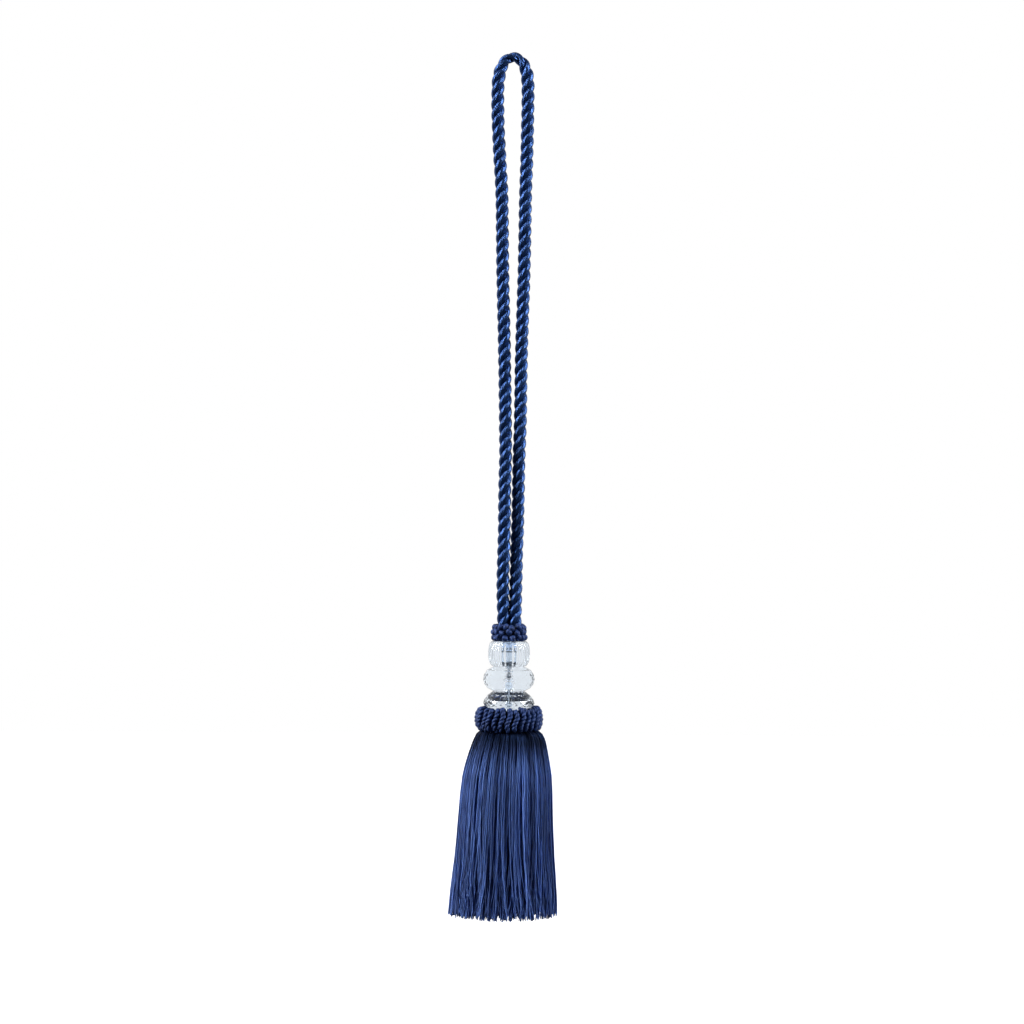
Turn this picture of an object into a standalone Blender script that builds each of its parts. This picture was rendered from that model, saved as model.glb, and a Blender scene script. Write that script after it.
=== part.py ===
"""Curtain tieback tassel.

A folded loop of three-strand twisted cord carries a stack of three clear cut beads, held between two
ruffs of wound gimp cord, above a skirt of hanging thread locks.

Metres, +Z up. The origin is where a hook takes the loop: just inside the top of the cord's arch, on
the tassel's own axis. X runs across the loop, and Y runs through it, away from the front.
"""

import math
import random

import bmesh
import bpy
from mathutils import Vector

GAP = 0.0003  # between two pieces that touch
MERGE = 0.00001  # points nearer than this are one

# Driving dimensions, down the tassel.
TOTAL_HEIGHT = 0.5791  # 22.8 inches, from the top of the cord to the hem
CORD_ABOVE_SEAT = 0.0069
UPPER_RUFF_TOP = -0.3768
UPPER_RUFF_HEIGHT = 0.0112
TOP_BEAD_HEIGHT = 0.0167
MIDDLE_BEAD_HEIGHT = 0.0164
LOWER_BEAD_HEIGHT = 0.0150
LOWER_RUFF_HEIGHT = 0.0160
RIM_ABOVE_RUFF = 0.0095  # the lower bead's top face above the lower ruff's crest

# Heights that follow from them.
UPPER_RUFF_BOTTOM = UPPER_RUFF_TOP - UPPER_RUFF_HEIGHT
TOP_BEAD_TOP = UPPER_RUFF_BOTTOM - GAP
MIDDLE_BEAD_TOP = TOP_BEAD_TOP - TOP_BEAD_HEIGHT - GAP
LOWER_BEAD_TOP = MIDDLE_BEAD_TOP - MIDDLE_BEAD_HEIGHT - GAP
LOWER_BEAD_BOTTOM = LOWER_BEAD_TOP - LOWER_BEAD_HEIGHT
LOWER_RUFF_TOP = LOWER_BEAD_TOP - RIM_ABOVE_RUFF
LOWER_RUFF_BOTTOM = LOWER_RUFF_TOP - LOWER_RUFF_HEIGHT
SKIRT_TOP = LOWER_RUFF_BOTTOM - GAP
HEM = CORD_ABOVE_SEAT - TOTAL_HEIGHT
SKIRT_DROP = SKIRT_TOP - HEM

# The cord: three strands laid right-handed, pressed flat on each other.
STRANDS = 3
STRAND_CREST = 0.0044  # from the cord's axis to the shoulders of a strand
STRAND_VALLEY = 0.0030  # and to the groove between two
SHOULDER_TURN = math.radians(22)  # a shoulder's turn from the middle of its strand
LAY_LENGTH = 0.0225  # one full turn of the strands
RINGS_PER_TURN = 9
SPAN_POINTS = 12  # where the smooth route is read between two of its own points
SQUEEZE_START = -0.3250  # where the two legs begin to press each other
SQUEEZED = 0.85  # a leg's size in the upper ruff as a share of its free size
ARCH_START = -0.0070  # above this height the bend draws the cord thinner
ARCHED = 0.78  # its size at the top of the arch as a share of its free size
CORD_END = UPPER_RUFF_BOTTOM

# The cord's route as x, y, z of its centre: up the left leg, over the arch, down the right leg.
CORD_ROUTE = [
    (-0.0038, 0.0, CORD_END),
    (-0.0038, 0.0, -0.3769),
    (-0.0039, 0.0, -0.3710),
    (-0.0043, -0.0004, -0.3600),
    (-0.0044, -0.0008, -0.3440),
    (-0.0040, -0.0014, -0.3286),
    (-0.0037, -0.0013, -0.3100),
    (-0.0036, -0.0011, -0.2850),
    (-0.0032, -0.0009, -0.2642),
    (-0.0035, -0.0004, -0.2400),
    (-0.0044, 0.0, -0.1944),
    (-0.0059, 0.0, -0.1400),
    (-0.0068, 0.0, -0.0900),
    (-0.0083, 0.0, -0.0656),
    (-0.0096, 0.0, -0.0420),
    (-0.0100, 0.0, -0.0250),
    (-0.0097, 0.0, -0.0130),
    (-0.0084, 0.0, -0.0060),
    (-0.0061, 0.0, -0.0003),
    (-0.0034, 0.0, 0.0024),
    (0.0, 0.0, 0.0035),
    (0.0036, 0.0, 0.0025),
    (0.0067, 0.0, -0.0003),
    (0.0090, 0.0, -0.0060),
    (0.0101, 0.0, -0.0130),
    (0.0103, 0.0, -0.0250),
    (0.0101, 0.0, -0.0420),
    (0.0097, 0.0, -0.0656),
    (0.0090, 0.0, -0.0900),
    (0.0084, 0.0, -0.1400),
    (0.0070, 0.0, -0.1944),
    (0.0065, 0.0004, -0.2400),
    (0.0058, 0.0009, -0.2642),
    (0.0055, 0.0011, -0.2850),
    (0.0052, 0.0013, -0.3100),
    (0.0046, 0.0014, -0.3286),
    (0.0044, 0.0008, -0.3440),
    (0.0041, 0.0004, -0.3600),
    (0.0039, 0.0, -0.3710),
    (0.0038, 0.0, -0.3769),
    (0.0038, 0.0, CORD_END),
]

# The beads: half their sections as (radius, depth under the bead's top face), down the outside.
TOP_BEAD_BORE = 0.0037
TOP_BEAD_FLUTES = 24
FLUTE_SHARE = 0.95  # a groove's radius against a ridge's
TOP_BEAD_SECTION = [
    (0.0118, 0.0),
    (0.0133, 0.0018),
    (0.0139, 0.0055),
    (0.0140, 0.0100),
    (0.0134, 0.0135),
    (0.0124, 0.0155),
    (0.0116, TOP_BEAD_HEIGHT),
]
SMALL_BORE = 0.0025
MIDDLE_BEAD_FACETS = 22
MIDDLE_BEAD_SECTION = [
    (0.0110, 0.0),
    (0.0148, 0.0024),
    (0.0169, 0.0058),
    (0.0173, 0.0088),
    (0.0165, 0.0118),
    (0.0144, 0.0146),
    (0.0112, MIDDLE_BEAD_HEIGHT),
]
LOWER_BEAD_FACETS = 20
LOWER_BEAD_SECTION = [
    (0.0112, 0.0),
    (0.0138, 0.0020),
    (0.0168, 0.0058),
    (0.0173, 0.0082),
    (0.0163, 0.0096),
    (0.0120, LOWER_BEAD_HEIGHT),
]
WIRE_RADIUS = 0.0006

# The ruffs: each is a ring wound from twisted gimp. Its relief is how deep the grooves sink.
POINTS_PER_RIB = 4
RUFF_SECTION_POINTS = 12
UPPER_RUFF_RIBS = 14
UPPER_RUFF_RADIUS = 0.0124
UPPER_RUFF_HOLE = 0.0079
UPPER_RUFF_RELIEF = 0.0014
UPPER_RUFF_LEAN = 0.0016  # how far its top row lies further in
LOWER_RUFF_RIBS = 28
LOWER_RUFF_RADIUS = 0.0235
LOWER_RUFF_HOLE = 0.0139
LOWER_RUFF_RELIEF = 0.0018
LOWER_RUFF_LEAN = 0.0
RIB_SLANT = 0.25  # how far a rib runs on round the ring, in ribs, from crest to foot

# The skirt: thread locks that hang from a bound head, three-sided, in rows one inside another.
NECK_RADIUS = 0.0132
HEAD_RADIUS = 0.0195
HEAD_THICKNESS = 0.0030
HEAD_CHAMFER = 0.0008
HEAD_STEPS = 40
ROOT_DEPTH = 0.0010  # a lock's root under the head's top
ROOT_INSET = 0.93  # the root's radius as a share of the head's
SKIRT_LEAN = -0.0036  # sideways drift of the hem
SKIRT_PROFILE = [  # (depth under the head's top, outer radius)
    (0.0010, 0.0209),
    (0.0060, 0.0243),
    (0.0150, 0.0270),
    (0.0350, 0.0306),
    (0.0620, 0.0323),
    (0.0930, 0.0343),
    (SKIRT_DROP, 0.0366),
]
OUTER_DEPTHS = [0.0012, 0.0060, 0.0150, 0.0350, 0.0760, SKIRT_DROP]
INNER_DEPTHS = [0.0200, 0.0650, SKIRT_DROP]
LOCK_ROWS = [  # (share of the skirt's radius, locks in the row)
    (1.00, 72),
    (0.79, 44),
    (0.58, 28),
    (0.37, 16),
    (0.16, 6),
]
LOCK_FILL = 0.80  # a lock's width as a share of its room
HEM_UNEVEN = 0.0025
RADIUS_UNEVEN = 0.0008
LOCK_SWAY = 0.0016
LOCK_WAVES = [  # (waves round the hem, start, share of the sway)
    (3, 0.6, 1.0),
    (7, 2.1, 0.6),
]
SEED = 7

NAVY = (0.026, 0.060, 0.185)
THREAD_NAVY = (0.022, 0.044, 0.140)
DEEP_NAVY = (0.015, 0.030, 0.105)
CLEAR = (0.93, 0.95, 0.97)
STEEL = (0.45, 0.46, 0.48)


def material(name, colour, roughness, metallic=0.0, transmission=0.0):
    made = bpy.data.materials.new(name)
    made.use_nodes = True
    shader = made.node_tree.nodes["Principled BSDF"]
    shader.inputs["Base Color"].default_value = (*colour, 1.0)
    shader.inputs["Roughness"].default_value = roughness
    shader.inputs["Metallic"].default_value = metallic
    shader.inputs["Transmission Weight"].default_value = transmission
    return made


def placed(name, data, finish, collection):
    """A named object of its own, with its finish, in the tassel's collection."""
    obj = bpy.data.objects.new(name, data)
    data.materials.append(finish)
    collection.objects.link(obj)
    return obj


def helper(obj):
    """Marks a guide or a cutter, which isn't a piece of the tassel."""
    obj.hide_render = True
    obj.display_type = "WIRE"
    return obj


def interpolated(table, at):
    """The second column of a table at a value of the first, in straight steps."""
    for (low, before), (high, after) in zip(table, table[1:]):
        if at <= high:
            share = max(0.0, (at - low) / (high - low))
            return before + (after - before) * share
    return table[-1][1]


def smooth_route(points, step):
    """Points a fixed step apart along the smooth curve through the given ones."""
    knots = [Vector(p) for p in points]
    knots = [2 * knots[0] - knots[1], *knots, 2 * knots[-1] - knots[-2]]
    fine = []
    for a, b, c, d in zip(knots, knots[1:], knots[2:], knots[3:]):
        for i in range(SPAN_POINTS):
            t = i / SPAN_POINTS
            fine.append(
                0.5 * (2 * b + (c - a) * t + (2 * a - 5 * b + 4 * c - d) * t**2
                       + (3 * b - 3 * c + d - a) * t**3)
            )
    fine.append(knots[-2])
    lengths = [0.0]
    for before, after in zip(fine, fine[1:]):
        lengths.append(lengths[-1] + (after - before).length)
    count = round(lengths[-1] / step)
    route = []
    span = 0
    for i in range(count + 1):
        along = lengths[-1] * i / count
        while span < len(fine) - 2 and lengths[span + 1] < along:
            span += 1
        share = (along - lengths[span]) / (lengths[span + 1] - lengths[span])
        route.append(fine[span].lerp(fine[span + 1], share))
    return route


def strand_section(finish, collection):
    """The cord's section as a flat guide curve: each strand's two shoulders, then a groove."""
    pitch = 2 * math.pi / STRANDS
    corners = []
    for strand in range(STRANDS):
        middle = -pitch * strand
        corners.append((middle + SHOULDER_TURN, STRAND_CREST))
        corners.append((middle - SHOULDER_TURN, STRAND_CREST))
        corners.append((middle - pitch / 2, STRAND_VALLEY))
    section = bpy.data.curves.new("strand_section", "CURVE")
    section.dimensions = "2D"
    outline = section.splines.new("POLY")
    outline.points.add(len(corners) - 1)
    outline.use_cyclic_u = True
    for point, (angle, radius) in zip(outline.points, corners):
        point.co = (radius * math.cos(angle), radius * math.sin(angle), 0.0, 1.0)
    return helper(placed("strand_section", section, finish, collection))


def squeeze(z):
    """The cord's size at a height as a share of its free size: less in the ruff and over the arch."""
    arch_top = max(place[2] for place in CORD_ROUTE)
    pressed = max(0.0, min(1.0, (SQUEEZE_START - z) / (SQUEEZE_START - UPPER_RUFF_TOP)))
    bent = max(0.0, min(1.0, (z - ARCH_START) / (arch_top - ARCH_START)))
    return 1.0 - (1.0 - SQUEEZED) * pressed - (1.0 - ARCHED) * bent


def cord_loop(finish, parts, guides):
    """The folded cord: its section turns as it runs, which lays the three strands round each other."""
    route = smooth_route(CORD_ROUTE, LAY_LENGTH / RINGS_PER_TURN)
    curve = bpy.data.curves.new("cord_loop", "CURVE")
    curve.dimensions = "3D"
    curve.twist_mode = "MINIMUM"
    line = curve.splines.new("POLY")
    line.points.add(len(route) - 1)
    for i, place in enumerate(route):
        line.points[i].co = (*place, 1.0)
        line.points[i].tilt = 2 * math.pi * i / RINGS_PER_TURN
        line.points[i].radius = squeeze(place.z)
    curve.bevel_mode = "OBJECT"
    curve.bevel_object = strand_section(finish, guides)
    curve.use_fill_caps = True
    return placed("cord_loop", curve, finish, parts)


def turned(name, section, is_bored, steps, finish, collection):
    """A section, listed down its outside, turned about the Z axis. A bored one closes on itself."""
    edges = [(i, i + 1) for i in range(len(section) - 1)]
    if is_bored:
        edges.append((len(section) - 1, 0))
    mesh = bpy.data.meshes.new(name)
    mesh.from_pydata([(radius, 0.0, z) for radius, z in section], edges, [])
    obj = placed(name, mesh, finish, collection)
    screw = obj.modifiers.new("turn", "SCREW")
    screw.steps = screw.render_steps = steps
    screw.use_merge_vertices = True
    screw.merge_threshold = MERGE
    return obj


def bead(name, top, section, bore, steps, shape, finish, collection):
    """A bored bead, turned and then cut: shape(row, step) gives a point's radius share and its turn."""
    depth = section[-1][1]
    outline = [(bore, top), *((r, top - d) for r, d in section), (bore, top - depth)]
    obj = turned(name, outline, True, steps, finish, collection)
    cut = bpy.data.meshes.new_from_object(obj.evaluated_get(bpy.context.evaluated_depsgraph_get()))
    obj.modifiers.clear()
    obj.data = cut
    heights = [round(z, 6) for _, z in outline]
    for vertex in cut.vertices:
        radius = math.hypot(vertex.co.x, vertex.co.y)
        if radius < bore + GAP:
            continue
        row = heights.index(round(vertex.co.z, 6))
        angle = math.atan2(vertex.co.y, vertex.co.x) % (2 * math.pi)
        step = round(angle / (2 * math.pi) * steps)
        share, turn = shape(row, step)
        vertex.co.x = radius * share * math.cos(angle + turn)
        vertex.co.y = radius * share * math.sin(angle + turn)
    return obj


def fluted(row, step):
    """Upright grooves round the top bead, which die out at its two faces."""
    is_face = row in (1, len(TOP_BEAD_SECTION))
    return (FLUTE_SHARE if step % 2 and not is_face else 1.0), 0.0


def staggered(facets):
    """Facets whose rows step round by half a facet, as cut crystal has them."""
    return lambda row, step: (1.0, math.pi / facets * (row % 2))


def stringing_wire(finish, collection):
    """The wire that strings the beads, from the cord's ends down to the skirt's head."""
    top = TOP_BEAD_TOP
    bottom = LOWER_BEAD_BOTTOM
    ring = bmesh.new()
    bmesh.ops.create_cone(
        ring, cap_ends=True, segments=10, radius1=WIRE_RADIUS, radius2=WIRE_RADIUS, depth=top - bottom
    )
    bmesh.ops.translate(ring, verts=ring.verts, vec=(0.0, 0.0, (top + bottom) / 2))
    mesh = bpy.data.meshes.new("stringing_wire")
    ring.to_mesh(mesh)
    ring.free()
    return placed("stringing_wire", mesh, finish, collection)


def ribbed(ribs):
    """Upright ribs side by side, as gimp wound round and round a ring lies."""
    return lambda around, section: 0.5 + 0.5 * math.cos(ribs * around)


def knobbed(knobs):
    """Three rows of round knobs, each row half a knob on from the next, down the ring's outside."""
    def bump(around, section):
        row = math.cos(3 * max(-math.pi / 3, min(math.pi / 3, section)))
        return 0.5 + 0.5 * math.cos(knobs * around) * row
    return bump


def wound_ruff(name, top, height, outer, hole, ribs, relief, lean, bump, finish, collection):
    """A ring of wound gimp, an upright oval in section: bump(around, section) is 1 on a crest."""
    middle = (outer + hole) / 2
    half_width = (outer - hole) / 2
    bpy.ops.mesh.primitive_torus_add(
        major_segments=ribs * POINTS_PER_RIB,
        minor_segments=RUFF_SECTION_POINTS,
        major_radius=1.0,
        minor_radius=0.25,
    )
    torus = bpy.context.object
    mesh = torus.data
    for vertex in mesh.vertices:
        around = math.atan2(vertex.co.y, vertex.co.x)
        section = math.atan2(vertex.co.z, math.hypot(vertex.co.x, vertex.co.y) - 1.0)
        side = math.cos(section)
        rise = math.sin(section)
        sink = relief * (1.0 - bump(around, section))
        inset = sink + lean * max(0.0, rise) if side > 0 else 0.0
        radius = middle + side * (half_width - inset)
        turned_on = around + 2 * math.pi / ribs * RIB_SLANT * (0.5 - 0.5 * rise)
        vertex.co.x = radius * math.cos(turned_on)
        vertex.co.y = radius * math.sin(turned_on)
        vertex.co.z = top - height / 2 + rise * (height / 2 - sink)
    mesh.shade_smooth()
    torus.name = mesh.name = name
    mesh.materials.append(finish)
    for home in torus.users_collection:
        home.objects.unlink(torus)
    collection.objects.link(torus)
    return torus


def unit_lock(segments):
    """One straight three-sided lock, from z = 0.5 at its root to -0.5 at its tip, cut into segments."""
    lock = bmesh.new()
    bmesh.ops.create_cone(lock, cap_ends=True, segments=3, radius1=1.0, radius2=1.0, depth=1.0)
    upright = [e for e in lock.edges if abs(e.verts[0].co.z - e.verts[1].co.z) > 0.5]
    bmesh.ops.subdivide_edges(lock, edges=upright, cuts=segments - 1, use_grid_fill=True)
    mesh = bpy.data.meshes.new("unit_lock")
    lock.to_mesh(mesh)
    lock.free()
    return mesh


def lock_line(share, angle, depths, hem_lift, inset):
    """Where a lock runs: the place on it that faces out, and its radius, at its root and each depth."""
    root = share * HEAD_RADIUS * ROOT_INSET
    line = [(Vector((root * math.cos(angle), root * math.sin(angle), SKIRT_TOP - ROOT_DEPTH)), root)]
    for depth in depths:
        down = depth / SKIRT_DROP
        radius = share * interpolated(SKIRT_PROFILE, depth)
        wave = sum(part * math.sin(count * angle + start) for count, start, part in LOCK_WAVES)
        turn = angle + LOCK_SWAY * down**1.5 * wave / radius
        out = radius - inset * down
        place = Vector((
            out * math.cos(turn) + SKIRT_LEAN * down,
            out * math.sin(turn),
            SKIRT_TOP - depth + hem_lift * down,
        ))
        line.append((place, radius))
    return line


def add_lock(skirt, unit, line, angle, room, is_outer):
    """Bends one lock along its line. It widens with its room, and shows a corner if it is outermost."""
    first = len(skirt.verts)
    skirt.from_mesh(unit)
    skirt.verts.ensure_lookup_table()
    rings = len(line) - 1
    across = Vector((-math.sin(angle), math.cos(angle), 0.0))
    for vertex in skirt.verts[first:]:
        ring = round((0.5 - vertex.co.z) * rings)
        place, radius = line[ring]
        before = line[max(0, ring - 1)][0]
        after = line[min(rings, ring + 1)][0]
        out = (after - before).normalized().cross(across)
        width = radius * room * LOCK_FILL
        if is_outer:
            size = width / (math.sqrt(3) + 1.5 * room * LOCK_FILL)
            depth = size * (1.0 - vertex.co.y)
        else:
            size = width / math.sqrt(3)
            depth = size * (0.5 + vertex.co.y)
        vertex.co = place - out * depth + across * vertex.co.x * size


def skirt_locks(finish, guides):
    """All the locks as separate closed prisms, row inside row."""
    chance = random.Random(SEED)
    skirt = bmesh.new()
    for row, (share, count) in enumerate(LOCK_ROWS):
        is_outer = row == 0
        depths = OUTER_DEPTHS if is_outer else INNER_DEPTHS
        unit = unit_lock(len(depths))
        for k in range(count):
            angle = 2 * math.pi * (k + 0.5 * (row % 2)) / count
            hem_lift = HEM_UNEVEN * chance.random()
            inset = RADIUS_UNEVEN * chance.random()
            line = lock_line(share, angle, depths, hem_lift, inset)
            add_lock(skirt, unit, line, angle, 2 * math.pi / count, is_outer)
        bpy.data.meshes.remove(unit)
    skirt.normal_update()
    bmesh.ops.recalc_face_normals(skirt, faces=skirt.faces)
    mesh = bpy.data.meshes.new("skirt_locks")
    skirt.to_mesh(mesh)
    skirt.free()
    return helper(placed("skirt_locks", mesh, finish, guides))


def skirt(finish, parts, guides):
    """The bound head, with its neck up through the lower ruff, and the locks fused to it."""
    neck_top = LOWER_BEAD_BOTTOM - GAP
    bottom = SKIRT_TOP - HEAD_THICKNESS
    section = [
        (0.0, neck_top),
        (NECK_RADIUS - HEAD_CHAMFER, neck_top),
        (NECK_RADIUS, neck_top - HEAD_CHAMFER),
        (NECK_RADIUS, SKIRT_TOP),
        (HEAD_RADIUS - HEAD_CHAMFER, SKIRT_TOP),
        (HEAD_RADIUS, SKIRT_TOP - HEAD_CHAMFER),
        (HEAD_RADIUS, bottom),
        (0.0, bottom),
    ]
    obj = turned("skirt", section, False, HEAD_STEPS, finish, parts)
    fuse = obj.modifiers.new("fuse", "BOOLEAN")
    fuse.operation = "UNION"
    fuse.solver = "EXACT"
    fuse.object = skirt_locks(finish, guides)
    return obj


def clear_scene():
    for obj in list(bpy.data.objects):
        bpy.data.objects.remove(obj)


def new_collection(name):
    made = bpy.data.collections.new(name)
    bpy.context.scene.collection.children.link(made)
    return made


def main():
    clear_scene()
    parts = new_collection("curtain_tieback_tassel")
    guides = new_collection("guides")
    cord = material("cord_navy", NAVY, 0.45)
    gimp = material("gimp_navy", DEEP_NAVY, 0.60)
    thread = material("thread_navy", THREAD_NAVY, 0.50)
    crystal = material("clear_crystal", CLEAR, 0.03, transmission=1.0)
    steel = material("wire_steel", STEEL, 0.35, metallic=1.0)

    cord_loop(cord, parts, guides)
    wound_ruff("upper_ruff", UPPER_RUFF_TOP, UPPER_RUFF_HEIGHT, UPPER_RUFF_RADIUS, UPPER_RUFF_HOLE,
               UPPER_RUFF_RIBS, UPPER_RUFF_RELIEF, UPPER_RUFF_LEAN, knobbed(UPPER_RUFF_RIBS), gimp, parts)
    bead("top_bead", TOP_BEAD_TOP, TOP_BEAD_SECTION, TOP_BEAD_BORE, 2 * TOP_BEAD_FLUTES, fluted,
         crystal, parts)
    bead("middle_bead", MIDDLE_BEAD_TOP, MIDDLE_BEAD_SECTION, SMALL_BORE, MIDDLE_BEAD_FACETS,
         staggered(MIDDLE_BEAD_FACETS), crystal, parts)
    bead("lower_bead", LOWER_BEAD_TOP, LOWER_BEAD_SECTION, SMALL_BORE, LOWER_BEAD_FACETS,
         staggered(LOWER_BEAD_FACETS), crystal, parts)
    stringing_wire(steel, parts)
    wound_ruff("lower_ruff", LOWER_RUFF_TOP, LOWER_RUFF_HEIGHT, LOWER_RUFF_RADIUS, LOWER_RUFF_HOLE,
               LOWER_RUFF_RIBS, LOWER_RUFF_RELIEF, LOWER_RUFF_LEAN, ribbed(LOWER_RUFF_RIBS), gimp, parts)
    skirt(thread, parts, guides)


main()
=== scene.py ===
"""Curtain tieback tassel, dressed.

A folded loop of three-strand satin cord, three clear cut beads on a wire between two ruffs of wound
gimp, and a skirt of fine hanging thread. Metres, +Z up. The origin is where a hook takes the loop.
"""

import math

import bpy
from mathutils import Matrix, Vector


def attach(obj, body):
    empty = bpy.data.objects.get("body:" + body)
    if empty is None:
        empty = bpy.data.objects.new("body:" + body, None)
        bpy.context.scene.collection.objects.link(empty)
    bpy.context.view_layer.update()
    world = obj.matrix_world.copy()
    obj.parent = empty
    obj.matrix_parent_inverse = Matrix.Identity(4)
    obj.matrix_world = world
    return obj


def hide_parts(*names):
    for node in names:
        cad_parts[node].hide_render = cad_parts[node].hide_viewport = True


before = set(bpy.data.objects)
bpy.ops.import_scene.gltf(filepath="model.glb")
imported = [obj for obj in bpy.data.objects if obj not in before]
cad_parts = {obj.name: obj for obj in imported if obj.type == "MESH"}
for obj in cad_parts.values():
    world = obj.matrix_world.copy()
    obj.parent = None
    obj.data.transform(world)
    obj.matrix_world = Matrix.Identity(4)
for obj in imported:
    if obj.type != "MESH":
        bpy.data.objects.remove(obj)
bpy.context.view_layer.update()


# Camera. It stands level in front of the tassel, two metres off, and leans a little over a third of a
# degree, because the tassel hangs that much askew in the picture.
CAMERA_DISTANCE = 2.0
VIEW_WIDTH = 0.687  # what the frame takes in where the tassel hangs
VIEW_X = 0.00135
VIEW_Z = -0.3017
VIEW_LEAN = math.radians(0.377)

lens = bpy.data.cameras.new("camera")
lens.sensor_width = 36.0
lens.lens = lens.sensor_width * CAMERA_DISTANCE / VIEW_WIDTH
camera = bpy.data.objects.new("camera", lens)
camera.matrix_world = (
    Matrix.Translation((VIEW_X, -CAMERA_DISTANCE, VIEW_Z))
    @ Matrix.Rotation(math.radians(90), 4, "X")
    @ Matrix.Rotation(VIEW_LEAN, 4, "Z")
)
bpy.context.scene.collection.objects.link(camera)
bpy.context.scene.camera = camera


# Cord. One length of rope from three soft strands of satin rayon, laid right-handed, folded into the
# loop. Both its ends are sewn into the upper ruff, where the two legs press against each other.
STRANDS = 3
LAY_LENGTH = 0.0225  # one full turn of the strands
POINTS_PER_TURN = 9  # of the route, in one turn of the strands
STRAND_RADIUS = 0.00205
STRAND_OFFSET = 0.00235  # from the rope's centre to a strand's
STRAND_START = 0.09  # turn of the first strand where the rope begins
STRAND_SIDES = 36
YARNS = 9  # yarns that show round one strand
YARN_RELIEF = 0.055  # a groove between two yarns, as a share of the strand's radius
STRAND_TWIST = -26.0  # a strand's own turns in each metre, against the rope's lay
ROPE_STEP = 0.0011  # between two rings of the mesh
ARCH_START = -0.0070  # height from which the bent rope draws in
ARCH_TOP = 0.0035
ARCHED = 0.78  # how thick it still is at the arch's top, as a share
CORD_END = -0.3880  # height of its two ends, inside the upper ruff
FIBRE_GAP = 7.0  # metres of fibre from one ply to the next, so that no two look alike
SATIN_GRAIN = (16.0, 16.0, 200.0)  # how fine the filaments are, round a strand and along it
SATIN_DYE = (1.6, 1.6, 60.0)  # the same for its patches of deeper dye
ROPE_NAVY = (0.046, 0.122, 0.370, 1.0)
ROPE_SHADE = (0.012, 0.034, 0.115, 1.0)
ROPE_GLINT = (0.40, 0.65, 1.0, 1.0)

# The rope's centre as x, y, z: up the left leg, over the arch, down the right leg.
CORD_ROUTE = [
    (-0.0038, 0.0, CORD_END),
    (-0.0038, 0.0, -0.3769),
    (-0.0039, 0.0, -0.3710),
    (-0.0043, -0.0004, -0.3600),
    (-0.0044, -0.0008, -0.3440),
    (-0.0040, -0.0014, -0.3286),
    (-0.0037, -0.0013, -0.3100),
    (-0.0036, -0.0011, -0.2850),
    (-0.0032, -0.0009, -0.2642),
    (-0.0035, -0.0004, -0.2400),
    (-0.0044, 0.0, -0.1944),
    (-0.0059, 0.0, -0.1400),
    (-0.0068, 0.0, -0.0900),
    (-0.0083, 0.0, -0.0656),
    (-0.0096, 0.0, -0.0420),
    (-0.0100, 0.0, -0.0250),
    (-0.0097, 0.0, -0.0130),
    (-0.0084, 0.0, -0.0060),
    (-0.0061, 0.0, -0.0003),
    (-0.0034, 0.0, 0.0024),
    (0.0, 0.0, 0.0035),
    (0.0036, 0.0, 0.0025),
    (0.0067, 0.0, -0.0003),
    (0.0090, 0.0, -0.0060),
    (0.0101, 0.0, -0.0130),
    (0.0103, 0.0, -0.0250),
    (0.0101, 0.0, -0.0420),
    (0.0097, 0.0, -0.0656),
    (0.0090, 0.0, -0.0900),
    (0.0084, 0.0, -0.1400),
    (0.0070, 0.0, -0.1944),
    (0.0065, 0.0004, -0.2400),
    (0.0058, 0.0009, -0.2642),
    (0.0055, 0.0011, -0.2850),
    (0.0052, 0.0013, -0.3100),
    (0.0046, 0.0014, -0.3286),
    (0.0044, 0.0008, -0.3440),
    (0.0041, 0.0004, -0.3600),
    (0.0039, 0.0, -0.3710),
    (0.0038, 0.0, -0.3769),
    (0.0038, 0.0, CORD_END),
]


def smooth_route(points, spacing, span_points=12):
    """Points a fixed step apart along the smooth curve through the given ones."""
    knots = [Vector(p) for p in points]
    knots = [2 * knots[0] - knots[1], *knots, 2 * knots[-1] - knots[-2]]
    fine = []
    for a, b, c, d in zip(knots, knots[1:], knots[2:], knots[3:]):
        for i in range(span_points):
            t = i / span_points
            fine.append(
                0.5 * (2 * b + (c - a) * t + (2 * a - 5 * b + 4 * c - d) * t**2
                       + (3 * b - 3 * c + d - a) * t**3)
            )
    fine.append(knots[-2])
    lengths = [0.0]
    for before, after in zip(fine, fine[1:]):
        lengths.append(lengths[-1] + (after - before).length)
    count = round(lengths[-1] / spacing)
    route = []
    span = 0
    for i in range(count + 1):
        along = lengths[-1] * i / count
        while span < len(fine) - 2 and lengths[span + 1] < along:
            span += 1
        share = (along - lengths[span]) / (lengths[span + 1] - lengths[span])
        route.append(fine[span].lerp(fine[span + 1], share))
    return route


def feed(tree, made, inputs):
    """Sets a node's inputs. Each takes a value, or a socket to link it from."""
    for key, value in inputs.items():
        if isinstance(value, bpy.types.NodeSocket):
            tree.links.new(value, made.inputs[key])
        else:
            made.inputs[key].default_value = value


def node(tree, kind, inputs=None, **settings):
    """Adds a node with its settings and its inputs."""
    made = tree.nodes.new(kind)
    for name, value in settings.items():
        setattr(made, name, value)
    feed(tree, made, inputs or {})
    return made


def calc(tree, operation, *values):
    """The result of a Math node on numbers or sockets."""
    return node(tree, "ShaderNodeMath", dict(enumerate(values)), operation=operation).outputs[0]


def times(tree, value, *factors):
    """A value times each factor in turn."""
    for factor in factors:
        value = calc(tree, "MULTIPLY", value, factor)
    return value


def plus(tree, value, *others):
    """A value plus each of the others in turn."""
    for other in others:
        value = calc(tree, "ADD", value, other)
    return value


def ranged(tree, value, from_min, from_max, to_min, to_max, **settings):
    """A number carried over from one range to another, and held at its ends."""
    inputs = {
        "Value": value,
        "From Min": from_min,
        "From Max": from_max,
        "To Min": to_min,
        "To Max": to_max,
    }
    return node(tree, "ShaderNodeMapRange", inputs, **settings).outputs[0]


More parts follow.
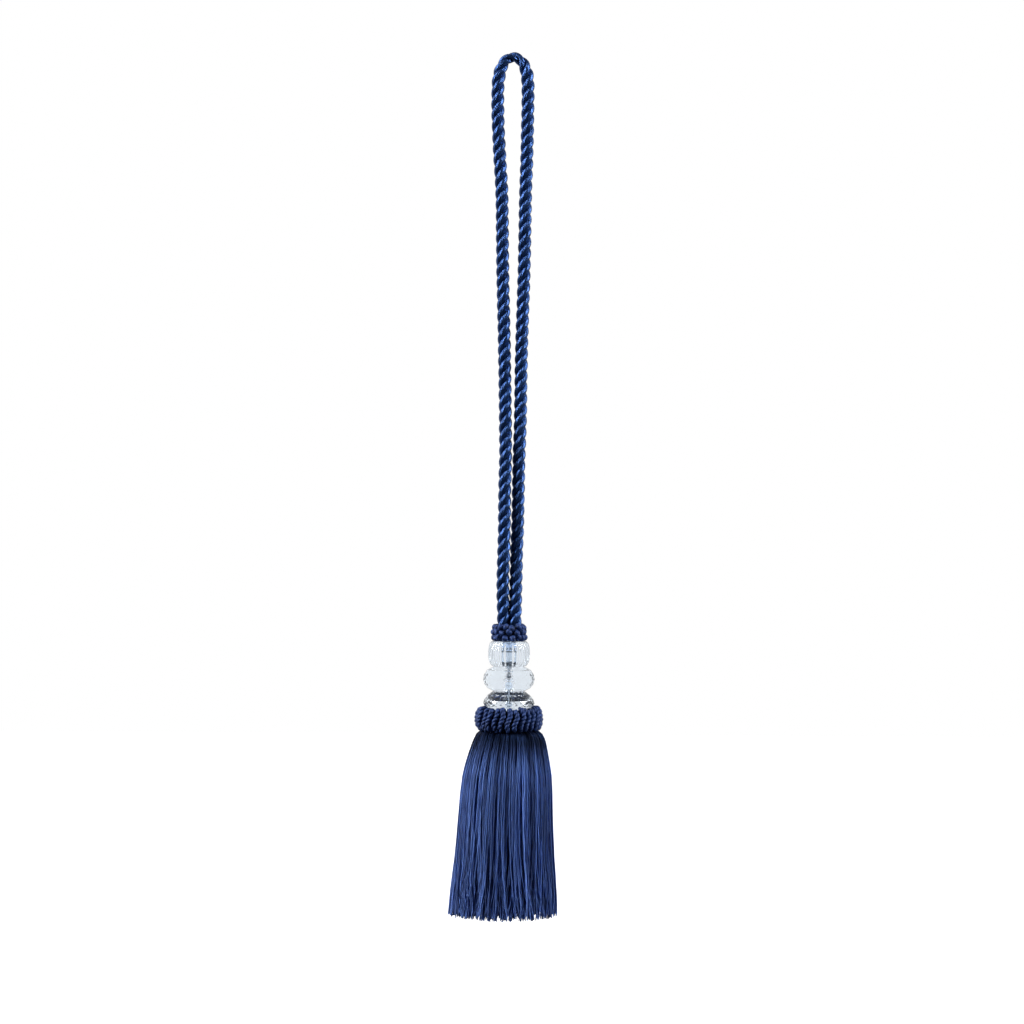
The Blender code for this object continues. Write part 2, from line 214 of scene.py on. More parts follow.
def vector_calc(tree, operation, *values):
    """The result of a Vector Math node on vectors or sockets."""
    kind = "ShaderNodeVectorMath"
    return node(tree, kind, dict(enumerate(values)), operation=operation).outputs[0]


def scaled(tree, way, factor):
    """A vector times a number."""
    inputs = {"Vector": way, "Scale": factor}
    return node(tree, "ShaderNodeVectorMath", inputs, operation="SCALE").outputs[0]


def vector(tree, x, y, z):
    """A vector from numbers or sockets."""
    return node(tree, "ShaderNodeCombineXYZ", {"X": x, "Y": y, "Z": z}).outputs[0]


def split(tree, place):
    """The X, Y and Z of a vector."""
    return node(tree, "ShaderNodeSeparateXYZ", {"Vector": place}).outputs


def position(tree):
    """Where each point stands."""
    return node(tree, "GeometryNodeInputPosition").outputs[0]


def circle(tree, steps, radius=1.0):
    """A round curve with so many steps."""
    inputs = {"Resolution": steps, "Radius": radius}
    return node(tree, "GeometryNodeCurvePrimitiveCircle", inputs).outputs[0]


def copied(tree, curve, amount):
    """So many copies of each spline, and the number of each."""
    inputs = {"Geometry": curve, "Amount": amount}
    return node(tree, "GeometryNodeDuplicateElements", inputs, domain="SPLINE").outputs


def put(tree, geometry, **where):
    """Moves the points to a new Position, or by an Offset."""
    return node(tree, "GeometryNodeSetPosition", {"Geometry": geometry, **where}).outputs[0]


def captured(tree, geometry, **values):
    """Keeps values on the points as they are here. Each value is a kind and a number or socket."""
    made = node(tree, "GeometryNodeCaptureAttribute", {"Geometry": geometry}, domain="POINT")
    for label, (kind, value) in values.items():
        made.capture_items.new(kind, label)
        feed(tree, made, {label: value})
    return made.outputs


def stored(tree, geometry, name, value, kind="FLOAT"):
    """Writes a value on the points, under a name that the finish reads."""
    inputs = {"Geometry": geometry, "Name": name, "Value": value}
    made = node(tree, "GeometryNodeStoreNamedAttribute", inputs, data_type=kind, domain="POINT")
    return made.outputs[0]


def growth_tree(name, sizes):
    """A Geometry Nodes tree with a geometry and the named sizes as its inputs."""
    tree = bpy.data.node_groups.new(name, "GeometryNodeTree")
    tree.interface.new_socket("Geometry", in_out="INPUT", socket_type="NodeSocketGeometry")
    for size, value in sizes.items():
        kind = "NodeSocketInt" if isinstance(value, int) else "NodeSocketFloat"
        tree.interface.new_socket(size, in_out="INPUT", socket_type=kind)
    tree.interface.new_socket("Geometry", in_out="OUTPUT", socket_type="NodeSocketGeometry")
    return tree, tree.nodes.new("NodeGroupInput").outputs


def end_tree(tree, geometry, finish, is_smooth=True):
    """Ends a tree: its shading, real instances, and the finish."""
    shading = {"Geometry": geometry, "Shade Smooth": is_smooth}
    shaded = node(tree, "GeometryNodeSetShadeSmooth", shading)
    real = node(tree, "GeometryNodeRealizeInstances", {"Geometry": shaded.outputs[0]})
    dressed = node(tree, "GeometryNodeSetMaterial", {"Geometry": real.outputs[0], "Material": finish})
    node(tree, "NodeGroupOutput", {"Geometry": dressed.outputs[0]})


def grown(name, points, tree, sizes, finish, is_closed=False):
    """The piece that a tree grows from a line through points, as a plain mesh."""
    edges = [(i, i + 1) for i in range(len(points) - 1)]
    if is_closed:
        edges.append((len(points) - 1, 0))
    guide_mesh = bpy.data.meshes.new("guide")
    guide_mesh.from_pydata([tuple(p) for p in points], edges, [])
    guide = bpy.data.objects.new("guide", guide_mesh)
    bpy.context.scene.collection.objects.link(guide)
    modifier = guide.modifiers.new("growth", "NODES")
    modifier.node_group = tree
    for item in tree.interface.items_tree:
        if item.in_out == "INPUT" and item.name in sizes:
            modifier[item.identifier] = sizes[item.name]
    depsgraph = bpy.context.evaluated_depsgraph_get()
    mesh = bpy.data.meshes.new_from_object(guide.evaluated_get(depsgraph))
    bpy.data.objects.remove(guide)
    mesh.materials.clear()
    mesh.materials.append(finish)
    piece = bpy.data.objects.new(name, mesh)
    bpy.context.scene.collection.objects.link(piece)
    return piece


def twisted_plies(
    tree, curve, plies, lay, offset, radius, sides, start,
    squeeze=1.0, grooves=1.0, relief=0.0, twist=0.0,
):
    """Winds plies round each spline of a curve and gives them their thickness.

    Each ply turns about itself by the twist, in turns for each metre. It keeps its fibre coordinates:
    its own circle as x and y, and the length along it as z.
    """
    kept = captured(
        tree, curve,
        along=("FLOAT", node(tree, "GeometryNodeSplineParameter").outputs["Length"]),
        across=("VECTOR", node(tree, "GeometryNodeInputNormal").outputs[0]),
        tangent=("VECTOR", node(tree, "GeometryNodeInputTangent").outputs[0]),
        squeeze=("FLOAT", squeeze),
        start=("FLOAT", start),
    )
    copies = copied(tree, kept["Geometry"], plies)
    share = calc(tree, "DIVIDE", copies["Duplicate Index"], plies)
    turns = plus(tree, calc(tree, "DIVIDE", kept["along"], lay), share, kept["start"])
    angle = times(tree, turns, 2 * math.pi)
    side = vector_calc(tree, "CROSS_PRODUCT", kept["tangent"], kept["across"])
    out = vector_calc(
        tree, "ADD",
        scaled(tree, kept["across"], calc(tree, "COSINE", angle)),
        scaled(tree, side, calc(tree, "SINE", angle)),
    )
    reach = times(tree, offset, kept["squeeze"])
    moved = put(tree, copies["Geometry"], Offset=scaled(tree, out, reach))
    own_turn = times(tree, kept["along"], twist, 2 * math.pi)
    turned = node(tree, "GeometryNodeSetCurveTilt", {"Curve": moved, "Tilt": own_turn})
    rim = captured(tree, circle(tree, sides), rim=("VECTOR", position(tree)))
    around = node(tree, "GeometryNodeSplineParameter").outputs["Factor"]
    wave = calc(tree, "COSINE", times(tree, around, grooves, 2 * math.pi))
    lobes = put(tree, rim["Geometry"], Offset=scaled(tree, rim["rim"], times(tree, wave, relief)))
    tube = node(
        tree, "GeometryNodeCurveToMesh",
        {
            "Curve": turned.outputs[0],
            "Profile Curve": lobes,
            "Scale": times(tree, radius, kept["squeeze"]),
            "Fill Caps": True,
        },
    )
    place = split(tree, rim["rim"])
    far = plus(tree, kept["along"], times(tree, share, FIBRE_GAP))
    fibre = vector(tree, place["X"], place["Y"], far)
    return stored(tree, tube.outputs[0], "fibre", fibre, "FLOAT_VECTOR")


def new_finish(name):
    """A material, its node tree and its Principled shader."""
    made = bpy.data.materials.new(name)
    made.use_nodes = True
    return made, made.node_tree, made.node_tree.nodes["Principled BSDF"]


def ramp(tree, factor, *stops):
    """A colour ramp's colour: stops are (place, colour)."""
    made = node(tree, "ShaderNodeValToRGB", {"Fac": factor})
    elements = made.color_ramp.elements
    while len(elements) < len(stops):
        elements.new(0.5)
    for element, (place, colour) in zip(elements, stops):
        element.position = place
        element.color = colour
    return made.outputs["Color"]


def attribute(tree, name, output="Fac"):
    """What a piece keeps on its points under a name."""
    return node(tree, "ShaderNodeAttribute", attribute_name=name).outputs[output]


def grain(tree, place, fineness, detail=2.0):
    """Noise that runs finer one way than another."""
    stretched = vector_calc(tree, "MULTIPLY", place, fineness)
    inputs = {"Vector": stretched, "Scale": 1.0, "Detail": detail}
    return node(tree, "ShaderNodeTexNoise", inputs).outputs["Fac"]


def rope_finish():
    """Satin rayon: fine filaments along each strand, uneven in depth of dye."""
    made, tree, shader = new_finish("satin_rope")
    fibre = attribute(tree, "fibre", "Vector")
    filaments = grain(tree, fibre, SATIN_GRAIN)
    dye = grain(tree, fibre, SATIN_DYE, 1.0)
    shade = times(tree, plus(tree, filaments, dye), 0.5)
    bump = node(tree, "ShaderNodeBump", {"Strength": 0.5, "Distance": 0.0002, "Height": filaments})
    feed(tree, shader, {
        "Base Color": ramp(tree, shade, (0.30, ROPE_SHADE), (0.70, ROPE_NAVY)),
        "Roughness": ranged(tree, filaments, 0.0, 1.0, 0.22, 0.36),
        "Normal": bump.outputs[0],
        "Metallic": 0.75,
        "Specular IOR Level": 0.5,
        "Sheen Weight": 0.05,
        "Sheen Roughness": 0.35,
        "Sheen Tint": ROPE_GLINT,
    })
    return made


rope_route = smooth_route(CORD_ROUTE, LAY_LENGTH / POINTS_PER_TURN)
rope_length = sum((b - a).length for a, b in zip(rope_route, rope_route[1:]))
rope_sizes = {
    "Strands": STRANDS,
    "Lay Length": rope_length / (len(rope_route) - 1) * POINTS_PER_TURN,
    "Strand Offset": STRAND_OFFSET,
    "Strand Radius": STRAND_RADIUS,
    "Strand Start": STRAND_START,
    "Sides": STRAND_SIDES,
    "Step": ROPE_STEP,
    "Yarns": YARNS,
    "Yarn Relief": YARN_RELIEF,
    "Strand Twist": STRAND_TWIST,
    "Arch Start": ARCH_START,
    "Arch Top": ARCH_TOP,
    "Arched": ARCHED,
}
tree, sizes = growth_tree("rope", rope_sizes)
line = node(tree, "GeometryNodeMeshToCurve", {"Mesh": sizes["Geometry"]}).outputs[0]
even = node(tree, "GeometryNodeResampleCurve", {"Curve": line, "Length": sizes["Step"]}, mode="LENGTH")
rise = split(tree, position(tree))["Z"]
bent = ranged(tree, rise, sizes["Arch Start"], sizes["Arch Top"], 1.0, sizes["Arched"])
strands = twisted_plies(
    tree, even.outputs[0], sizes["Strands"], sizes["Lay Length"], sizes["Strand Offset"],
    sizes["Strand Radius"], sizes["Sides"], sizes["Strand Start"], bent,
    sizes["Yarns"], sizes["Yarn Relief"], sizes["Strand Twist"],
)
satin_rope = rope_finish()
end_tree(tree, strands, satin_rope)
rope = grown("rope_loop", rope_route, tree, rope_sizes, satin_rope)
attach(rope, "root")
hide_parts("cord_loop")


# Upper ruff. A collar of thick two-ply gimp, its loops packed in three staggered rows, so that their
# crowns show as round knobs. It is sewn through the cord's two ends and hides them.
UPPER_RUFF_MIDDLE = -0.3824
UPPER_LOOP_CENTRE = 0.0085  # radius at which a loop's crown is centred
UPPER_LOOP_REACH = 0.0015  # how far the crown stands out from there
UPPER_LOOP_RISE = 0.0005
UPPER_LOOP_SWEEP = math.radians(105)
LOOP_POINTS = 25
RIB_WAVE = 0.013  # height in which a bent rib sways once
RIB_SWAY_START = 0.6  # radians by which a rib's sway may start early or late
UNEVEN_HEIGHT = 160.0  # share of its height that a loop may gain, for each metre of unevenness
PAINTED_SHADE_FADE = 0.0015  # depth over which the painted shade between the loops sets in
GIMP_WRAP = 0.00042  # between two turns of the yarn that wraps the gimp
GIMP_SLANT = 1.5  # how far that yarn slants across the gimp
GIMP_WRAP_PAINTED_SHADE = 0.12  # how much painted shade and highlight its turns put in the colour
GIMP_PAINTED_SHADE = 0.22  # how dark the painted shade makes the gimp between the loops and on its core
GIMP_GRAIN = (1.5, 1.5, 900.0)  # how fine its fibre is, round the gimp and along it
GIMP_NAVY = (0.030, 0.080, 0.300, 1.0)
GIMP_SHADE = (0.006, 0.020, 0.085, 1.0)
GIMP_GLINT = (0.50, 0.60, 0.90, 1.0)
upper_ruff_sizes = {
    "Ribs": 14,
    "Rows": 3,
    "Row Rise": 0.0033,
    "Row Lean": 0.0003,
    "Row Bulge": 0.0006,
    "Slant": 0.0,
    "Bend": 0.0,
    "Uneven": 0.00070,
    "Seed": 3,
    "Plies": 2,
    "Twist Length": 0.0056,
    "Ply Offset": 0.00052,
    "Ply Radius": 0.00160,
    "Ply Sides": 16,
    "Points": 28,
    "Core Radius": 0.0088,
    "Core Width": 0.0010,
    "Core Height": 0.0042,
    "Core Z": UPPER_RUFF_MIDDLE,
    "Painted Shade Radius": 0.0080,
}


def even_line(tree, sizes):
    """The guide as a curve with evenly spaced points."""
    line = node(tree, "GeometryNodeMeshToCurve", {"Mesh": sizes["Geometry"]}).outputs[0]
    return node(tree, "GeometryNodeResampleCurve", {"Curve": line, "Count": sizes["Points"]}).outputs[0]


def chance(tree, low, high, seed, number):
    """A random number between two values, fixed for each number of a copy."""
    inputs = {2: low, 3: high, "ID": number, "Seed": seed}  # 2 and 3 are the ends for plain numbers
    return node(tree, "FunctionNodeRandomValue", inputs, data_type="FLOAT").outputs[1]


def about_axis(tree, radius, angle, height, shift=0.0):
    """A place at a radius and an angle about the upright axis, then moved sideways by a shift."""
    x = plus(tree, times(tree, radius, calc(tree, "COSINE", angle)), shift)
    return vector(tree, x, times(tree, radius, calc(tree, "SINE", angle)), height)


def oval_ring(tree, radius, width, height, z, steps=72, section_steps=24):
    """A plain ring with an upright oval section."""
    oval = vector_calc(tree, "MULTIPLY", position(tree), vector(tree, width, height, 0.0))
    section = put(tree, circle(tree, section_steps), Position=oval)
    inputs = {"Curve": circle(tree, steps, radius), "Profile Curve": section}
    ring = node(tree, "GeometryNodeCurveToMesh", inputs).outputs[0]
    return put(tree, ring, Offset=vector(tree, 0.0, 0.0, z))


def ruff_tree(sizes_of_one, finish):
    """Loops of two-ply gimp set round a core in staggered rows. The guide is one loop at angle 0."""
    tree, sizes = growth_tree("wound_ruff", sizes_of_one)
    copies = copied(tree, even_line(tree, sizes), times(tree, sizes["Ribs"], sizes["Rows"]))
    number = copies["Duplicate Index"]
    row = calc(tree, "MODULO", number, sizes["Rows"])
    rib = calc(tree, "FLOOR", calc(tree, "DIVIDE", number, sizes["Rows"]))
    middle_row = times(tree, calc(tree, "SUBTRACT", sizes["Rows"], 1.0), 0.5)
    up = calc(tree, "SUBTRACT", row, middle_row)
    place = split(tree, position(tree))
    seeds = [plus(tree, sizes["Seed"], float(i)) for i in range(6)]
    most = sizes["Uneven"]
    least = times(tree, most, -1.0)
    side, out, lift = [chance(tree, least, most, seed, number) for seed in seeds[:3]]
    longer = chance(tree, -1.0, 1.0, seeds[3], number)
    drop = calc(tree, "SUBTRACT", place["Z"], sizes["Core Z"])
    stretch = plus(tree, 1.0, times(tree, longer, times(tree, most, UNEVEN_HEIGHT)))
    height = plus(
        tree, sizes["Core Z"], times(tree, drop, stretch),
        plus(tree, times(tree, up, sizes["Row Rise"]), lift),
    )
    bulge = times(tree, sizes["Row Bulge"], calc(tree, "SUBTRACT", 1.0, times(tree, up, up)))
    leaned = calc(tree, "SUBTRACT", place["X"], times(tree, sizes["Row Lean"], up))
    radius = plus(tree, leaned, plus(tree, out, bulge))
    share = calc(tree, "DIVIDE", plus(tree, rib, times(tree, row, 0.5)), sizes["Ribs"])
    sway_start = chance(tree, -RIB_SWAY_START, RIB_SWAY_START, seeds[5], number)
    sway = calc(tree, "SINE", plus(tree, times(tree, drop, 2 * math.pi / RIB_WAVE), sway_start))
    lean = plus(tree, times(tree, drop, sizes["Slant"]), times(tree, sway, sizes["Bend"]))
    angle = plus(
        tree, times(tree, share, 2 * math.pi), calc(tree, "DIVIDE", plus(tree, side, lean), radius)
    )
    loops = put(tree, copies["Geometry"], Position=about_axis(tree, radius, angle, height))
    gimp = twisted_plies(
        tree, loops, sizes["Plies"], sizes["Twist Length"], sizes["Ply Offset"],
        sizes["Ply Radius"], sizes["Ply Sides"], chance(tree, 0.0, 1.0, seeds[4], number),
    )
    # Painted shade: gimp closer to the axis than the Painted Shade Radius, and the whole core, are
    # marked to be darkened, standing in for the shadow between and behind the loops.
    flat = vector_calc(tree, "MULTIPLY", position(tree), (1.0, 1.0, 0.0))
    from_axis = node(tree, "ShaderNodeVectorMath", {0: flat}, operation="LENGTH").outputs["Value"]
    clear_of_shade = plus(tree, sizes["Painted Shade Radius"], PAINTED_SHADE_FADE)
    painted_gap_shade = ranged(tree, from_axis, sizes["Painted Shade Radius"], clear_of_shade, 1.0, 0.0)
    core = oval_ring(
        tree, sizes["Core Radius"], sizes["Core Width"], sizes["Core Height"], sizes["Core Z"]
    )
    both = node(tree, "GeometryNodeJoinGeometry")
    tree.links.new(stored(tree, gimp, "painted_gap_shade", painted_gap_shade), both.inputs[0])
    tree.links.new(stored(tree, core, "painted_gap_shade", 1.0), both.inputs[0])
    end_tree(tree, both.outputs[0], finish)
    return tree


def gimp_finish():
    """Gimp: a core wrapped closely with fine rayon, darker and less shiny than the cord."""
    made, tree, shader = new_finish("wrapped_gimp")
    fibre = attribute(tree, "fibre", "Vector")
    place = split(tree, fibre)
    turn = times(tree, place["Z"], 2 * math.pi / GIMP_WRAP)
    wrap = calc(tree, "SINE", plus(tree, turn, times(tree, place["X"], GIMP_SLANT)))
    noise = grain(tree, fibre, GIMP_GRAIN)
    # The wrap's turns paint shade and highlight into the colour.
    shade = plus(tree, times(tree, wrap, GIMP_WRAP_PAINTED_SHADE), noise)
    dyed = ramp(tree, shade, (0.35, GIMP_SHADE), (0.72, GIMP_NAVY))
    # Painted shade between the loops and on the core.
    shadow = ranged(tree, attribute(tree, "painted_gap_shade"), 0.0, 1.0, 1.0, GIMP_PAINTED_SHADE)
    bump = node(tree, "ShaderNodeBump", {"Strength": 0.5, "Distance": 0.00015, "Height": shade})
    feed(tree, shader, {
        "Base Color": scaled(tree, dyed, shadow),
        "Roughness": ranged(tree, noise, 0.0, 1.0, 0.42, 0.60),
        "Normal": bump.outputs[0],
        "Metallic": 0.35,
        "Sheen Weight": 0.04,
        "Sheen Roughness": 0.4,
        "Sheen Tint": GIMP_GLINT,
    })
    return made


wrapped_gimp = gimp_finish()
upper_loop = []
for i in range(LOOP_POINTS):
    turn = UPPER_LOOP_SWEEP * (1.0 - 2.0 * i / (LOOP_POINTS - 1))
    upper_loop.append((
        UPPER_LOOP_CENTRE + UPPER_LOOP_REACH * math.cos(turn),
        0.0,
        UPPER_RUFF_MIDDLE + UPPER_LOOP_RISE * math.sin(turn),
    ))
tree = ruff_tree(upper_ruff_sizes, wrapped_gimp)
upper_ruff = grown("knobbed_ruff", upper_loop, tree, upper_ruff_sizes, wrapped_gimp)
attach(upper_ruff, "root")
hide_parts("upper_ruff")


# Beads. Three clear pressed-acrylic beads with cut and polished faces, threaded one above another on the
# wire: a fluted barrel, a rondelle with shallow facets and a flared bead with deep ones.
BEAD_CLEAR = (0.800, 0.862, 0.930, 1.0)
# BEAD_HAZE is a frosted haze. The blue, grey and dark tints after it are painted shade and painted
# reflection, standing in for the ruff and cord seen through the acrylic.
BEAD_HAZE = (0.640, 0.710, 0.790, 1.0)
BEAD_PAINTED_BLUE = (0.560, 0.700, 0.950, 1.0)
BEAD_PAINTED_GREY = (0.420, 0.490, 0.580, 1.0)
BEAD_PAINTED_DARK = (0.012, 0.018, 0.028, 1.0)
BEAD_IOR = 1.49
BEAD_GAP = 0.0003
BEAD_RIPPLE = 260.0  # how fine the mould's ripple is
TOP_BEAD_TOP = -0.3883
TOP_BEAD_HEIGHT = 0.0167
MIDDLE_BEAD_HEIGHT = 0.0164
LOWER_BEAD_HEIGHT = 0.0150
MIDDLE_BEAD_TOP = TOP_BEAD_TOP - TOP_BEAD_HEIGHT - BEAD_GAP
LOWER_BEAD_TOP = MIDDLE_BEAD_TOP - MIDDLE_BEAD_HEIGHT - BEAD_GAP

# Each section runs down the outside as (radius, depth, share of the flutes' depth). A share under
# zero stands for frost and painted shade in the acrylic, as on the bores.
TOP_BEAD_SECTION = [
    (0.0112, 0.0, 0.0),
    (0.0119, 0.0003, 0.2),
    (0.0130, 0.0016, 0.8),
    (0.0136, 0.0034, 1.0),
    (0.0139, 0.0060, 1.0),
    (0.0140, 0.0090, 1.0),
    (0.0138, 0.0118, 1.0),
    (0.0133, 0.0139, 1.0),
    (0.0125, 0.0155, 0.8),
    (0.0117, 0.0164, 0.2),
    (0.0112, TOP_BEAD_HEIGHT, 0.0),
]
MIDDLE_BEAD_SECTION = [
    (0.0104, 0.0, 0.0),
    (0.0112, 0.0004, 0.0),
    (0.0148, 0.0024, 1.0),
    (0.0169, 0.0058, 1.0),
    (0.0173, 0.0088, 1.0),
    (0.0165, 0.0118, 1.0),
    (0.0144, 0.0146, 1.0),
    (0.0114, 0.0161, 0.0),
    (0.0106, MIDDLE_BEAD_HEIGHT, 0.0),
]
LOWER_BEAD_SECTION = [
    (0.0108, 0.0, 0.0),
    (0.0112, 0.0003, 0.0),
    (0.0138, 0.0020, 1.0),
    (0.0168, 0.0058, 1.0),
    (0.0173, 0.0082, 1.0),
    (0.0163, 0.0096, 1.0),
    (0.0122, 0.0147, -0.2),
    (0.0118, LOWER_BEAD_HEIGHT, -0.9),
]
# Each bore runs back up the inside as (radius, depth, the drill's frost and painted shade). The middle
# bead was drilled from both ends, and a thin web is left where the two drillings meet.
TOP_BEAD_BORE = [
    (0.0018, TOP_BEAD_HEIGHT, 0.2),
    (0.0009, 0.0162, 0.9),
    (0.0035, 0.0131, 0.9),
    (0.0036, 0.0127, 0.4),
    (0.0037, 0.0123, 0.08),
    (0.0037, 0.0076, 0.08),
    (0.0038, 0.0074, 0.9),
    (0.0044, 0.0066, 0.9),
    (0.0045, 0.0064, 0.15),
    (0.0045, 0.0014, 0.15),
    (0.0045, 0.0003, 0.6),
    (0.0046, 0.0, 0.6),
]
MIDDLE_BEAD_BORE = [
    (0.0029, MIDDLE_BEAD_HEIGHT, 0.4),
    (0.0025, 0.0160, 0.1),
    (0.0025, 0.0150, 0.0),
    (0.0025, 0.0090, 0.0),
    (0.0012, 0.0082, 0.9),
    (0.0012, 0.0068, 0.9),
    (0.0025, 0.0060, 0.0),
    (0.0025, 0.0030, 0.0),
    (0.0026, 0.0020, 0.7),
    (0.0050, 0.0, 0.7),
]
LOWER_BEAD_BORE = [
    (0.0029, LOWER_BEAD_HEIGHT, 0.9),
    (0.0025, 0.0146, 0.1),
    (0.0025, 0.0030, 0.0),
    (0.0026, 0.0020, 0.7),
    (0.0050, 0.0, 0.7),
]
top_bead_sizes = {"Steps": 192, "Flutes": 24, "Flute Depth": 0.045, "Stagger": 0.0}
middle_bead_sizes = {"Steps": 22, "Flutes": 22, "Flute Depth": 0.0, "Stagger": 0.5}
lower_bead_sizes = {"Steps": 20, "Flutes": 20, "Flute Depth": 0.0, "Stagger": 0.5}


def bead_tree(sizes_of_one, is_faceted, finish):
    """Turns a section about the axis, then cuts upright flutes, or steps its rows round into facets.

    The guide holds each row's radius as x and height as z. Its y is the row's share of the flutes'
    depth, and under zero its frost and painted shade.
    """
    tree, sizes = growth_tree("cut_bead", sizes_of_one)
    line = node(tree, "GeometryNodeMeshToCurve", {"Mesh": sizes["Geometry"]}).outputs[0]
    index = node(tree, "GeometryNodeInputIndex").outputs[0]
    section = captured(tree, line, place=("VECTOR", position(tree)), row=("INT", index))
    around = captured(tree, circle(tree, sizes["Steps"]), step=("INT", index))
    inputs = {"Curve": around["Geometry"], "Profile Curve": section["Geometry"]}
    turned = node(tree, "GeometryNodeCurveToMesh", inputs).outputs[0]
    place = split(tree, section["place"])
    odd = calc(tree, "MODULO", section["row"], 2.0)
    step = plus(tree, around["step"], times(tree, odd, sizes["Stagger"]))
    angle = times(tree, calc(tree, "DIVIDE", step, sizes["Steps"]), 2 * math.pi)
    half = times(tree, angle, sizes["Flutes"], 0.5)
    groove = calc(tree, "SUBTRACT", 1.0, calc(tree, "ABSOLUTE", calc(tree, "COSINE", half)))
    fluted = calc(tree, "MAXIMUM", place["Y"], 0.0)
    sunk = times(tree, groove, sizes["Flute Depth"], fluted)
    radius = times(tree, place["X"], calc(tree, "SUBTRACT", 1.0, sunk))
    cut = put(tree, turned, Position=about_axis(tree, radius, angle, place["Z"]))
    if is_faceted:
        facets = node(tree, "GeometryNodeTriangulate", {"Mesh": cut}, quad_method="SHORTEST_DIAGONAL")
        cut = facets.outputs[0]
    # A share under zero becomes frost and painted shade in the finish.
    frost_and_painted_tint = times(tree, calc(tree, "MINIMUM", place["Y"], 0.0), -1.0)
    end_tree(tree, stored(tree, cut, "frost_and_painted_shade", frost_and_painted_tint), finish, not is_faceted)
    return tree


def crystal_finish():
    """Clear acrylic with a faint ripple left by the mould under its polish."""
    made, tree, shader = new_finish("clear_acrylic")
    place = node(tree, "ShaderNodeTexCoord").outputs["Object"]
    inputs = {"Vector": place, "Scale": BEAD_RIPPLE, "Detail": 1.0}
    ripple = node(tree, "ShaderNodeTexNoise", inputs).outputs["Fac"]
    frost_and_painted_shade = attribute(tree, "frost_and_painted_shade")
    rough = ranged(tree, ripple, 0.0, 1.0, 0.0, 0.03)
    drilled = ranged(tree, frost_and_painted_shade, 0.0, 1.0, 0.0, 0.25)
    # Painted shade and painted reflection: these tints darken the acrylic where the ruff and cord show
    # through.
    colour = ramp(
        tree, frost_and_painted_shade,
        (0.0, BEAD_CLEAR), (0.08, BEAD_HAZE), (0.15, BEAD_PAINTED_BLUE), (0.30, BEAD_PAINTED_GREY), (1.0, BEAD_PAINTED_DARK),
    )
    bump = node(tree, "ShaderNodeBump", {"Strength": 0.06, "Distance": 0.0003, "Height": ripple})
    feed(tree, shader, {
        "Base Color": colour,
        "Roughness": plus(tree, rough, drilled),
        "Normal": bump.outputs[0],
        "Transmission Weight": 0.97,
        "IOR": BEAD_IOR,
    })
    return made


def new_bead(name, top, section, bore, bead_sizes, is_faceted, stands_for):
    """One bead: its section closed through the bore, turned and cut."""
    outline = [(r, share, top - d) for r, d, share in section]
    outline += [(r, -frost_and_painted_tint, top - d) for r, d, frost_and_painted_tint in bore]
    tree = bead_tree(bead_sizes, is_faceted, clear_acrylic)
    bead = grown(name, outline, tree, bead_sizes, clear_acrylic, is_closed=True)
    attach(bead, "root")
    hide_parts(stands_for)


clear_acrylic = crystal_finish()
new_bead(
    "fluted_bead", TOP_BEAD_TOP, TOP_BEAD_SECTION, TOP_BEAD_BORE, top_bead_sizes, False, "top_bead"
)
new_bead(
    "rondelle_bead", MIDDLE_BEAD_TOP, MIDDLE_BEAD_SECTION, MIDDLE_BEAD_BORE, middle_bead_sizes, True,
    "middle_bead",
)
new_bead(
    "flared_bead", LOWER_BEAD_TOP, LOWER_BEAD_SECTION, LOWER_BEAD_BORE, lower_bead_sizes, True,
    "lower_bead",
)


# Stringing wire. A straight length of thin drawn steel wire, from the cord's ends down through the
# bores of the beads to the skirt's head. Its solid already has its shape, so only its finish is new.
WIRE_STEEL = (0.90, 0.92, 0.95, 1.0)
WIRE_GRAIN = (9000.0, 9000.0, 120.0)  # fine lines that the drawing leaves along the wire
wire_steel, tree, shader = new_finish("drawn_steel")
lines = grain(tree, node(tree, "ShaderNodeTexCoord").outputs["Object"], WIRE_GRAIN)
feed(tree, shader, {
    "Base Color": WIRE_STEEL,
    "Roughness": ranged(tree, lines, 0.0, 1.0, 0.25, 0.5),
    "Metallic": 0.2,
})
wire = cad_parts["stringing_wire"]
wire.data.materials.clear()
wire.data.materials.append(wire_steel)


# Lower ruff. A wide collar of slightly finer gimp, 28 upright ribs side by side, each a loop that comes
# out from under the flared bead, over the front and back in above the skirt's head.
LOWER_RIB = [  # radius and height of a rib's centre line, from its top end to its foot
    (0.0150, -0.4395),
    (0.0164, -0.4353),
    (0.0180, -0.4335),
    (0.0197, -0.4342),
    (0.0208, -0.4370),
    (0.0212, -0.4405),
    (0.0208, -0.4440),
    (0.0197, -0.4463),
    (0.0180, -0.4470),
    (0.0166, -0.4455),
]
lower_ruff_sizes = {
    "Ribs": 28,
    "Rows": 1,
    "Row Rise": 0.0,
    "Row Lean": 0.0,
    "Row Bulge": 0.0,
    "Slant": 0.06,
    "Bend": 0.0009,
    "Uneven": 0.00045,
    "Seed": 11,
    "Plies": 2,
    "Twist Length": 0.0056,
    "Ply Offset": 0.00080,
    "Ply Radius": 0.00112,
    "Ply Sides": 14,
    "Points": 40,
    "Core Radius": 0.0176,
    "Core Width": 0.0020,
    "Core Height": 0.0058,
    "Core Z": -0.4402,
    "Painted Shade Radius": 0.0160,
}
lower_rib = [(radius, 0.0, height) for radius, height in LOWER_RIB]
tree = ruff_tree(lower_ruff_sizes, wrapped_gimp)
lower_ruff = grown("ribbed_ruff", lower_rib, tree, lower_ruff_sizes, wrapped_gimp)
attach(lower_ruff, "root")
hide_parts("lower_ruff")


